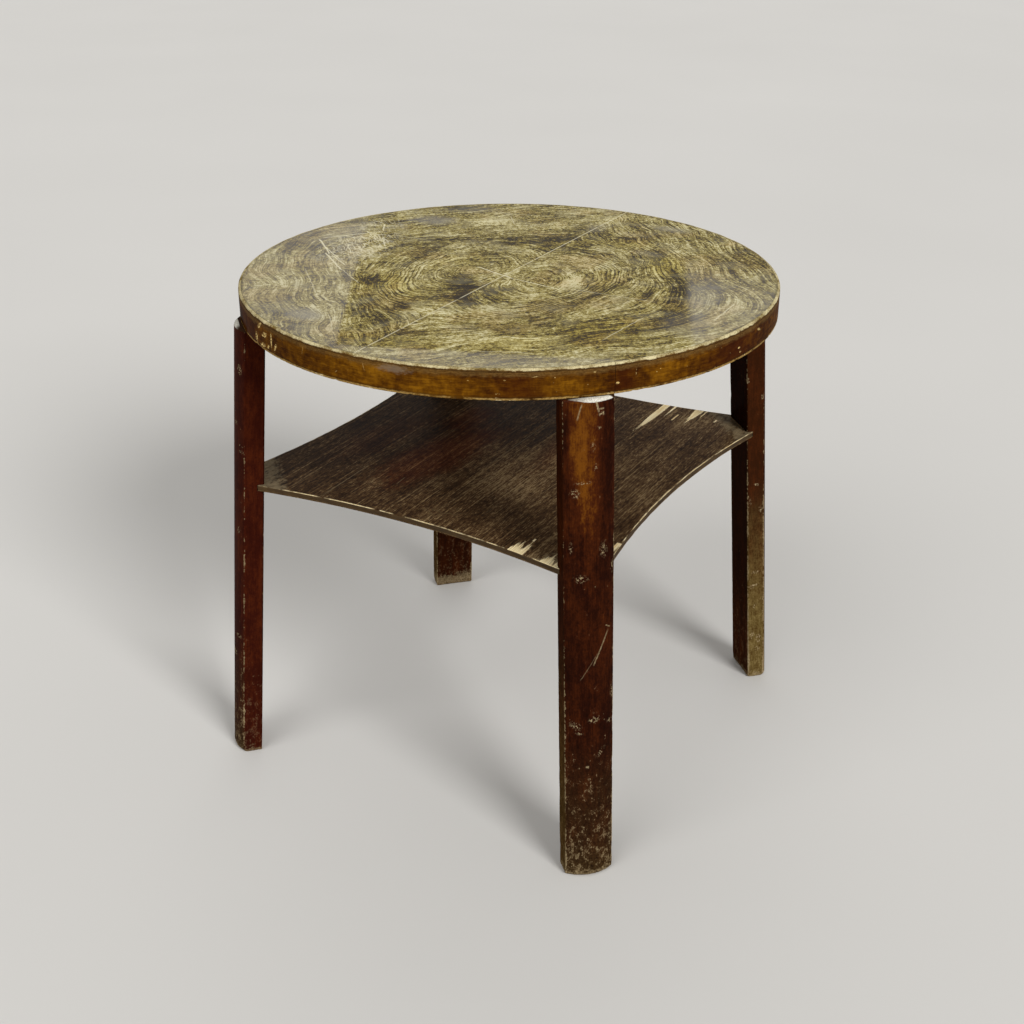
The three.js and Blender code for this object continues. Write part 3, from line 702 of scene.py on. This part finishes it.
def leg_varnish(name, amber_highlight=0.2, fade=0, marks=(), lines=(), side_marks=(), red=0, rubbed=0, foot_wear=9,
                bare=(-24, 6), rim_shadow_reach=24):
    """Red-brown varnish over upright grain, worn pale along the arrises and at the foot. amber_highlight is the
    amber upper middle of the outer face above the shelf, partly the varnish and partly painted highlight, fade
    the bleaching of the side faces low down, red a redder stain. rubbed widens the worn arrises by so many
    millimetres, foot_wear is how high the foot is worn, bare where across the top the painted highlight begins,
    and rim_shadow_reach how far out the painted shadow of the rim on the top goes."""
    f = Finish(name, Specular_IOR_Level=0, Coat_Roughness=0.12, Coat_IOR=1.4)
    vector, out, across, level = f.attribute("place_on_leg")
    both = f.vector("ADD", vector, f.vector("SIGN", f.place()[0]))
    grain = f.vary(both, (3.6, 3, 90), 3, 0.6)
    fine = f.vary(both, (1.1, 1, 9), 3, 0.65, seed=3)
    cloud = f.vary(both, (22, 18, 50), 3, 0.6, seed=5)
    dirt = f.vary(both, (6, 6, 9), 4, 0.65, seed=6)
    grit = f.vary(both, (1.8, 1.8, 2.2), 3, 0.7, seed=8)
    face = f.rise(out, LEG_SIDE_DEPTH - 2, LEG_SIDE_DEPTH + 1.5)
    # Painted highlight, partly the varnish's own amber: the upper middle of the outer face, shifted left, made
    # brighter
    middle = across + 6 + cloud * 26
    amber_highlight_area = f.rise(level + dirt * 90, 330, 480) * f.rise(abs(middle), 23, 3) * face
    olive = f.rise(level, 60, 0) * 0.5 + f.rise(level, 190, 60) * 0.35
    shade = 0.4 + grain * 0.4 + fine * 0.45 + cloud * 0.8 + dirt * 0.6 + grit * 0.5 + amber_highlight_area * amber_highlight
    colour = f.ramp(shade, (0, 12, 4, 2), (0.35, 34, 11, 4), (0.65, 60, 25, 7), (0.95, 100, 57, 12))
    colour = f.mix(red, colour, f.mix(1, colour, tone(40, 8, 6), "ADD"))
    colour = f.mix(fade * (1 - face), colour, f.mix(1, colour, tone(34, 18, 6), "ADD"))
    # Painted shade: the inner face, from the foot upwards, darkened almost to black
    inner = f.rise(out, 2, 0.6) * f.rise(level, 40, 170)
    colour = f.mix(inner * 0.55, colour, tone(12, 5, 3))
    colour = f.cover(olive * face, colour, dirt * 2 + grit * 2 + 0.5, (26, 16, 7), (74, 56, 30))
    bleach = f.rise(level + cloud * 150, 300, 70) * f.rise(abs(across), 24, 26) * (1 - face) * fade
    colour = f.cover(bleach, colour, fine * 1.5 + grit * 2 + dirt * 2 + 0.5, (66, 46, 18), (118, 101, 58))

    ragged = f.vary(both, 4.5, 4, 0.7, seed=7)
    patchy = f.vary(both, (30, 30, 45), 2, seed=9)
    low = f.rise(level, 260, 20)
    depth_gap = LEG_SIDE_DEPTH / 2 - abs(out - LEG_SIDE_DEPTH / 2)
    side_gap = LEG_WIDTH / 2 - abs(across)
    high_up = f.rise(level, 250, 440)
    edge_gap = (depth_gap | side_gap) + ragged * 8 + patchy * 6 - low * 0.4 + high_up * 0.7 - rubbed
    arris = f.rise(edge_gap, 0.5, 0)
    foot = f.rise(level + ragged * 36 + patchy * 14, foot_wear, foot_wear - 7)
    chips = f.rise(f.cells(both, (4.5, 4.5, 5.5), 3) + grit * 0.4, 0.12, 0.05) * f.rise(
        patchy + low * 0.2 - 0.12, 0, 0.12)
    dots = f.rise(f.cells(both, (10, 10, 13), 6) + grit * 0.16, 0.085, 0.045)
    crumbs = f.rise(grit + ragged * 0.4, 0.02, 0.08)
    torn = ragged * 2.6 + grit * 1.6
    spots = f.spots(across, level, marks, torn) * face + f.spots(out, level, side_marks, torn) * (across < 0)
    strokes = f.strokes(across, level, lines, ragged * 1.5) * face
    scuffs = f.rise(dirt * 0.8 + grit * 0.5 + low * 0.08 + f.rise(level, 190, 20) * 0.06, 0.16, 0.24) * (
        0.3 + face * 0.7)
    worn = (arris * 0.75 + chips * 0.7 + dots * 0.6 + foot * 0.55 + scuffs * 0.4 + spots * crumbs + strokes) & 1
    colour = f.cover(worn, colour, ragged * 1.5 + grit * 2 + 0.5, (78, 58, 34), (172, 154, 118))

    # The leg's top crescent outside the rim: a pale painted highlight, and a dark painted shadow where the rim is
    # near
    top = f.rise(level + f.rise(across, -20, 4) * 1.9 + ragged * 0.8, RIM_LOW - 1.1, RIM_LOW - 0.5) * f.rise(
        out, LEG_SIDE_DEPTH - 3, LEG_SIDE_DEPTH - 1.5)
    highlight_past_rim_shadow = f.rise(across + ragged * 9, *bare) * f.rise(out + ragged * 2, rim_shadow_reach - 1, rim_shadow_reach)
    colour = f.mix(top, colour, f.mix(highlight_past_rim_shadow, tone(46, 28, 16),
                                      f.mix(fine * 3 + 0.5, tone(160, 156, 142), tone(236, 232, 220))))
    rough = 0.38 + worn * 0.25 + bleach * 0.2 + top * 0.2 + fine * 0.5
    height = grain * 0.8 + fine - worn * 0.8
    return f.finish(colour, rough, height, 0.1, coat=0.015 + (face - (worn | bleach) & 1) * 0.045)


# Places on the shelf's top where the face veneer has split away: x, low y, high y, half width. Those that reach
# past SHELF_RIM either way run out over the shelf's edge
SHELF_RIM = 230
SHELF_CHIPS = [(104.5, 134, 240, 4.4), (116.5, 186, 240, 1.7), (147.5, 184, 240, 6), (130, 176, 196, 0.9),
               (157, 200, 240, 1.5), (141, -192, -186, 1.2), (133, -240, -204, 6.5), (142.5, -240, -200, 3.4),
               (175, -250, -214, 8), (187, -250, -220, 4), (178, 196, 204, 1), (221, -176, -150, 2.6),
               (228, -196, -182, 1.6)]


def chip_mask(x, y):
    """1 inside the shelf's chips and 0 outside, for the mesh."""
    mask = np.zeros_like(x)
    for middle, low, high, half in SHELF_CHIPS:
        inside = np.minimum(half - 0.8 - np.abs(x - middle), np.minimum(y - low, high - y) - 6)
        mask = np.maximum(mask, np.clip(inside / 1.5, 0, 1))
    return mask


# Redder patches and pale lines on the shelf
SHELF_RED = [(-62, -60, 100, 40, 80, 1), (-88, 60, 40, 24, 90, 0.8), (50, 60, 90, 20, 95, 0.4),
             (-150, -40, 80, 30, 80, 0.4)]
SHELF_LINES = [
    (2, 112, 3, -78, 0.8, 0.7), (-117, -118, -114, -222, 0.8, 0.7), (52, -10, 48, -60, 0.7, 0.4),
    (-160, -150, -158, -215, 0.7, 0.4), (66, -80, 64, -170, 0.7, 0.4), (-62, -128, -60, -150, 0.8, 0.6),
    (20, -60, 16, -190, 0.6, 0.4), (96, -20, 92, -120, 0.6, 0.4), (-30, -100, -34, -200, 0.6, 0.4),
    (-90, 120, -84, -40, 0.6, 0.5), (-20, 60, -30, -60, 0.6, 0.4), (-52, 140, -44, 20, 0.6, 0.5)
]


def shelf_surface(name, bare):
    """Dark grey-brown veneer, its grain along Y. With bare, its tips are rubbed and chips show the pale ply."""
    f = Finish(name, Specular_IOR_Level=0.02, Coat_Roughness=0.3, Coat_IOR=1.4)
    vector, x, y, _ = f.place()
    grain = f.vary(vector, (2.4, 190, 8), 3, 0.6)
    fine = f.vary(vector, (0.9, 44, 4), 3, 0.6, seed=2)
    hairs = f.vary(vector, (1, 7, 3), 3, 0.7, seed=21)
    cloud = f.vary(vector, (40, 70, 50), 3, 0.6, seed=4)
    dirt = f.vary(vector, (7, 9, 7), 3, 0.65, seed=3)
    ragged = f.vary(vector, (3, 9, 3), 4, 0.65, seed=6)
    soft = ragged * 1.5 + cloud
    red = f.spots(x, y, SHELF_RED, soft)
    grey = f.rise(x + cloud * 60, -30, 50)
    streaks = f.rise(grain + fine * 0.5, 0.06, 0.16)
    lighter = f.spot(x, y, (60, -30, 110, 60, 80, 1), soft)
    shade = (0.46 + grain + fine * 1.1 + hairs * 2.2 + cloud + dirt * 0.8 + grey * 0.1 + streaks * 0.06
             + lighter * 0.16)
    colour = f.ramp(shade, (0, 20, 11, 6), (0.4, 56, 38, 22), (0.7, 88, 66, 42), (1, 142, 120, 86))
    colour = f.mix((red & 1) * 0.7, colour, f.mix(1, colour, tone(52, 14, 0), "ADD"))
    colour = f.mix((red & 1) * 0.5, colour, tone(255, 190, 150), "MULTIPLY")
    ripple = (y * 0.42 + f.vary(vector, 14, 2, seed=8) * 26).math("SINE")
    wave = f.spot(x, y, (22, -182, 26, 11, 20, 1), ragged) * f.rise(ripple, 0.2, 0.9)
    colour = f.mix(wave * 0.35, colour, tone(100, 88, 62))
    rough = 0.46 + fine * 0.6
    if bare:
        lines = f.strokes(x, y, SHELF_LINES, ragged * 0.8)
        tips = f.rise(abs(x) + abs(y) + dirt * 50, 374, 394) * f.rise(ragged + dirt, -0.3, 0.1)
        jag = f.vary(f.join(x / 1.5, 0), 1, 2, 0.8, seed=12) * 110
        bite = f.vary(f.join(y / 6, 0), 1, 2, seed=14) * 3
        chips = 0
        for middle, low, high, half in SHELF_CHIPS:
            if high > SHELF_RIM:
                end, taper = y > low - jag, f.rise(y, low - 8, low + 46)
            elif low < -SHELF_RIM:
                end, taper = y < high + jag, f.rise(y, high + 10, high - 16)
            else:
                end, taper = (y > low) * (y < high), 1
            chips = end * (abs(x - middle + bite) < half * (0.3 + 0.7 * taper)) + chips
        chips = chips & 1
        rub = f.rise(f.attribute("edge_gap")[1] + ragged * 3 + dirt * 1.5, 0.9, 0.4) * f.rise(
            f.noise(vector, 24, 3, 0.6, seed=17), 0.4, 0.54)
        colour = f.mix((lines * 0.6 + tips * 0.55) & 1, colour, tone(140, 126, 98))
        colour = f.cover((chips + rub * 0.8) & 1, colour, fine * 3 + 0.5, (214, 184, 126), (255, 242, 200))
        rough = rough + chips * 0.3
    height = grain + fine + wave * 0.6 + dirt * 0.6
    return f.finish(colour, rough, height, 0.12, coat=0.05)


def ply_edge():
    """Bare ply: brown, its plies' edges streaked along, paler where it is rubbed."""
    f = Finish("ply_edge", Specular_IOR_Level=0.2)
    vector, _, _, z = f.place()
    streak = f.noise(vector, (30, 30, 0.5), 4, 0.65)
    rub = f.noise(vector, (16, 16, 4), 3, 0.7, seed=3)
    lowest = f.rise(z, SHELF_LOW + 1.4, SHELF_LOW + 0.9)
    shade = -0.08 + (streak - 0.5) * 0.9 + rub * 0.6 + lowest * 0.3
    colour = f.ramp(shade, (0, 36, 24, 12), (0.4, 78, 58, 30), (0.7, 140, 116, 70), (1, 212, 194, 146))
    return f.finish(colour, 0.65 + (streak - 0.5) * 0.2, streak, 0.2)


def plain_wood(name, dark, light, stretch):
    """Unvarnished wood: streaks drawn out along one axis between a dark and a light tone."""
    f = Finish(name, Specular_IOR_Level=0.3)
    vector = f.place()[0]
    grain = f.noise(vector, stretch, 4, 0.6)
    fine = f.noise(vector, tuple(size * 0.3 for size in stretch), 3, 0.6, seed=3)
    colour = f.mix(f.rise((grain + fine) / 2, 0.35, 0.65), tone(*dark), tone(*light))
    return f.finish(colour, 0.62 + (fine - 0.5) * 0.3, grain + fine, 0.15)


# Pieces


def dress_top():
    veneer = figured_veneer()
    shares = [*np.linspace(0.995, 0.06, 14)]
    profile = slab_profile(VENEER_LOW, RIM_HIGH, LEAF_EDGE_ROUND, shares)
    for side, name in ((-1, "left"), (1, "right")):
        points = slab_points(half_disc_outline(side), profile)
        add_piece(f"figured_leaf_{name}", points, veneer, [f"top_veneer_{name}"])


def dress_rim():
    varnish = rim_varnish()
    for start, name in ((BUTT_ANGLE + pi, "left"), (BUTT_ANGLE, "right")):
        add_piece(f"varnished_rim_{name}", rim_shape(start), varnish, [f"rim_band_{name}"])


def dress_legs():
    for number, (name, angle) in enumerate(LEG_ANGLES.items()):
        points, places = leg_shape(angle, 20 + 5 * number)
        add_piece(f"worn_{name}", points, leg_varnish(f"{name}_varnish", **LEG_WEAR_AND_PAINTED_LIGHT[name]), [name],
                  {"place_on_leg": places})


def dress_shelf():
    outline = shelf_outline()
    lap = np.arange(len(outline))
    ply = ply_edge()
    finishes = {"shelf_top_veneer": shelf_surface("shelf_face", True),
                "shelf_back_veneer": shelf_surface("shelf_underside", False)}
    for number, node in enumerate(SHELF_PLIES):
        low, high = [corner.z * TO_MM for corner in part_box(node)]
        face = node == "shelf_top_veneer"
        shares = [*(1 - np.linspace(0.004, 0.97, 60) ** 1.25)] if face else [*np.linspace(0.995, 0.05, 8)]
        points = slab_points(outline, slab_profile(low, high, PLY_EDGE_ROUND, shares))
        worn = np.clip(lattice_noise(lap / 3.1, lap * 0 + number, 60 + number) + 0.2, 0, 1) * 0.35
        middle = outline.mean(0)
        length = np.linalg.norm(points[..., :2] - middle, axis=-1, keepdims=True)
        points[..., :2] -= (points[..., :2] - middle) / np.maximum(length, 1) * worn[None, :, None]
        gap = np.zeros(points.shape)
        if face:
            gap[-len(shares):, :, 0] = (1 - np.array(shares)[:, None]) * np.linalg.norm(outline - middle, axis=1)
            top = points[..., 2] > high - 0.01
            points[..., 2] -= np.where(top, chip_mask(points[..., 0], points[..., 1]) * CHIP_DEPTH, 0)
        slot = "shelf_veneer" if node in finishes else "ply_wood"
        add_piece(node.replace("shelf", "thin_shelf"), points, finishes.get(node, ply), [node],
                  {"edge_gap": gap})


def finish_hidden_nodes():
    """Better materials for the CAD nodes that stay: cores, crossbands, back veneers and dowels."""
    woods = {"core_board": plain_wood("core_softwood", (176, 140, 92), (220, 190, 140), (5, 160, 5)),
             "crossband": plain_wood("crossband_birch", (120, 92, 58), (166, 136, 92), (90, 3, 3)),
             "back_veneer": plain_wood("back_veneer_wood", (84, 56, 30), (132, 98, 58), (3, 140, 3)),
             "dowel": plain_wood("dowel_beech", (190, 152, 104), (222, 190, 142), (1.5, 1.5, 40))}
    for name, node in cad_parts.items():
        if not node.hide_render:
            wood = next(wood for part, wood in woods.items() if part in name)
            for slot in node.material_slots:
                slot.material = wood


# Stage, lights and camera

FLOOR_METRES = 40
FLOOR_SIDES = 96
WORLD_COLOUR = (1, 0.99, 0.97, 1)
WORLD_STRENGTH = 0.36
# Lamps: place round the table, elevation and width, all in degrees, and strength
LAMPS = {"key": (-26, 32, 22, 2.5), "fill": (-100, 45, 40, 0.9), "back": (120, 50, 40, 0.3)}
# The camera's fit: turn about the table's axis, tilt and roll in radians, place in metres before the turn
SENSOR_WIDTH = 36
FOCAL_PIXELS, PICTURE_PIXELS = 1479.56, 1024
CAMERA_TURN, CAMERA_DOWN, CAMERA_ROLL = radians(30.212), 0.4631, -0.0009
CAMERA_PLACE = (0.00333, -1.60306, 1.07385)


def pale_floor():
    f = Finish("pale_floor", Roughness=0.85, Specular_IOR_Level=0.2)
    soft = f.noise(f.place()[0], 900, 2)
    material = f.finish(f.mix(soft, tone(204, 202, 198), tone(210, 208, 204)))
    angle = np.linspace(0, 2 * pi, FLOOR_SIDES + 1)[:-1]
    rim = np.stack([np.cos(angle), np.sin(angle), 0 * angle], -1) * FLOOR_METRES
    mesh = bpy.data.meshes.new("floor")
    mesh.from_pydata(rim.tolist(), [], [list(range(FLOOR_SIDES))])
    mesh.materials.append(material)
    put("floor", mesh)


def light_up():
    """An even pale world and three far soft lamps, which light a level surface to about its written colour."""
    scene = bpy.context.scene
    scene.world = bpy.data.worlds.new("studio")
    scene.world.use_nodes = True
    background = scene.world.node_tree.nodes["Background"]
    background.inputs["Color"].default_value = WORLD_COLOUR
    background.inputs["Strength"].default_value = WORLD_STRENGTH
    for name, (turn, height, spread, strength) in LAMPS.items():
        data = bpy.data.lights.new(name, "SUN")
        data.angle, data.energy = radians(spread), strength
        turn, height = radians(turn), radians(height)
        away = Vector((cos(turn) * cos(height), sin(turn) * cos(height), sin(height)))
        put(name, data).rotation_euler = away.to_track_quat("Z", "Y").to_euler()
    scene.view_settings.view_transform = "Standard"


def set_camera():
    """The photograph's camera: 26.5 degrees down, and 14.8 degrees past the front leg's diagonal."""
    data = bpy.data.cameras.new("camera")
    data.lens = SENSOR_WIDTH * FOCAL_PIXELS / PICTURE_PIXELS
    data.sensor_width = SENSOR_WIDTH
    camera = put("camera", data)
    spin = Matrix.Rotation(CAMERA_TURN, 4, "Z")
    tilt = Matrix.Rotation(pi / 2 - CAMERA_DOWN, 4, "X") @ Matrix.Rotation(-CAMERA_ROLL, 4, "Z")
    camera.matrix_world = Matrix.Translation(spin @ Vector(CAMERA_PLACE)) @ spin @ tilt
    bpy.context.scene.camera = camera


dress_top()
dress_rim()
dress_legs()
dress_shelf()
finish_hidden_nodes()
pale_floor()
light_up()
set_camera()
